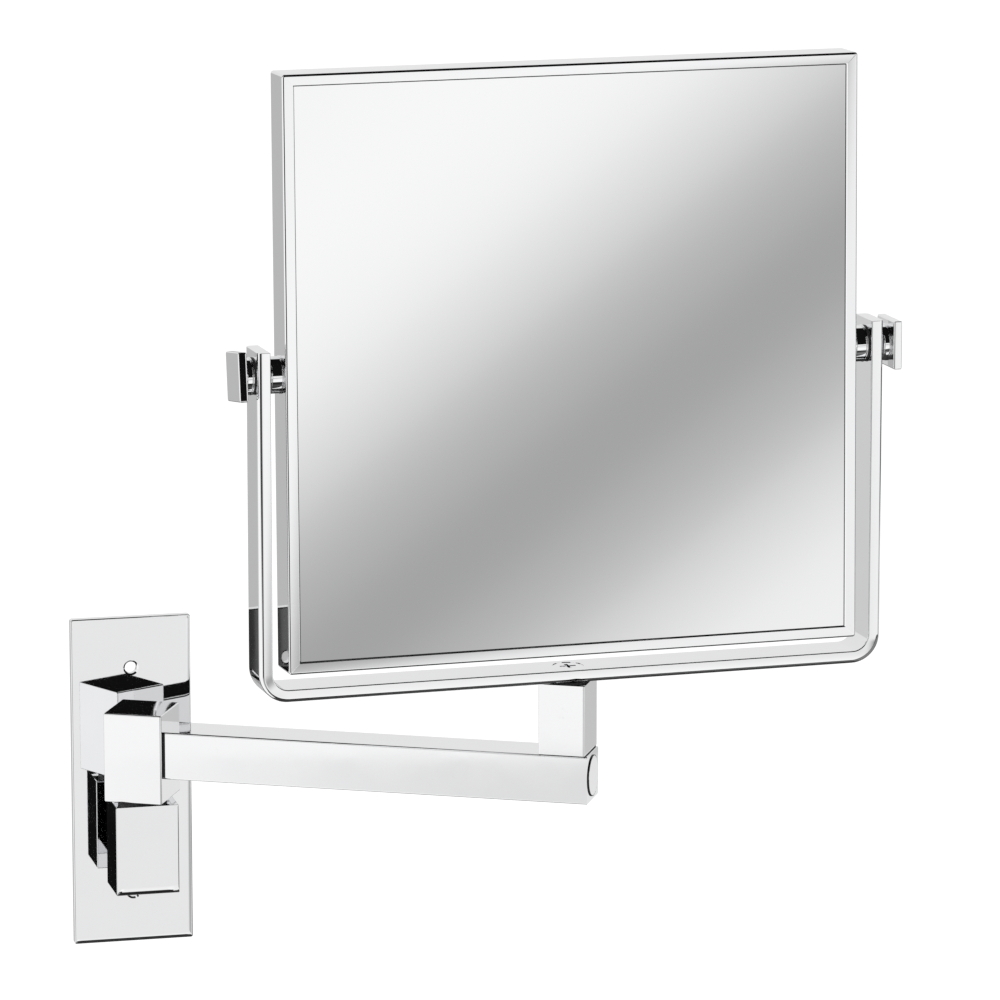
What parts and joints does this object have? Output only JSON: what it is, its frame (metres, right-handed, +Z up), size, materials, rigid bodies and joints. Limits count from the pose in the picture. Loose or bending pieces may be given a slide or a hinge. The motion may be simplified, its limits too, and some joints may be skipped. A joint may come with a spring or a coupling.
{
  "type": "extendable shaving mirror",
  "caption": "Square two-sided shaving mirror in a U-shaped yoke that swivels on a post at the end of a square swing arm, on a slim rectangular wall plate.",
  "frame": {"origin": "middle of the wall plate's back face, which lies on the wall", "axes": "+Z up, +X to the right along the wall, +Y into the wall, so the mirror stands out towards -Y"},
  "size_m": [0.2711, 0.1084, 0.3168],
  "materials": {
    "chrome": "polished chrome plate",
    "mirror": "silvered mirror glass",
    "nylon": "black moulded nylon",
    "steel": "plain zinc-plated steel",
    "brass": "turned brass",
    "foam": "closed-cell foam tape",
    "tray_plastic": "moulded polystyrene"
  },
  "bodies": {
    "wall_bracket": {"wall_plate": "chrome", "bracket_block": "chrome", "bracket_screws": "steel", "pivot_bush": "brass", "thrust_washer": "nylon", "friction_washer": "nylon", "pivot_cap": "nylon"},
    "arm": {"knuckle_block": "chrome", "pivot_bolt": "steel", "disc_springs": "steel", "arm_spigot": "brass", "arm_bar": "chrome", "grub_screws": "steel", "arm_slug": "brass", "arm_end_plug": "chrome", "post_block": "chrome", "post_screw": "steel", "swivel_washer": "nylon", "yoke_screw": "chrome"},
    "yoke": {"yoke": "chrome", "yoke_bushes": "nylon", "tilt_washers": "nylon"},
    "mirror_head": {"head_frame": "chrome", "front_glass": "mirror", "front_pad": "foam", "core_tray": "tray_plastic", "rear_pad": "foam", "rear_glass": "mirror", "rear_bezel": "chrome", "pivot_nuts": "brass", "inner_collars": "chrome"},
    "left_knob": {"knob_left": "chrome", "stud_left": "steel", "outer_collar_left": "chrome"},
    "right_knob": {"knob_right": "chrome", "stud_right": "steel", "outer_collar_right": "chrome"}
  },
  "joints": [
    {"name": "arm_swing", "type": "hinge", "parent": "wall_bracket", "child": "arm", "pos_m": [0, -0.0225, 0], "axis": [0, 0, 1], "range_deg": [-152.5, 27.5]},
    {"name": "yoke_swivel", "type": "hinge", "parent": "arm", "child": "yoke", "pos_m": [0.13376, -0.09213, 0.0491], "axis": [0, 0, 1], "continuous": true},
    {"name": "head_tilt", "type": "hinge", "parent": "yoke", "child": "mirror_head", "pos_m": [0.13376, -0.09213, 0.1587], "axis": [0.9981, 0.061, 0], "continuous": true},
    {"name": "left_knob_turn", "type": "hinge", "parent": "mirror_head", "child": "left_knob", "pos_m": [0.02047, -0.09906, 0.1587], "axis": [-0.9981, -0.061, 0], "range_deg": [-15, 345]},
    {"name": "right_knob_turn", "type": "hinge", "parent": "mirror_head", "child": "right_knob", "pos_m": [0.24705, -0.0852, 0.1587], "axis": [0.9981, 0.061, 0], "range_deg": [-15, 345]}
  ]
}
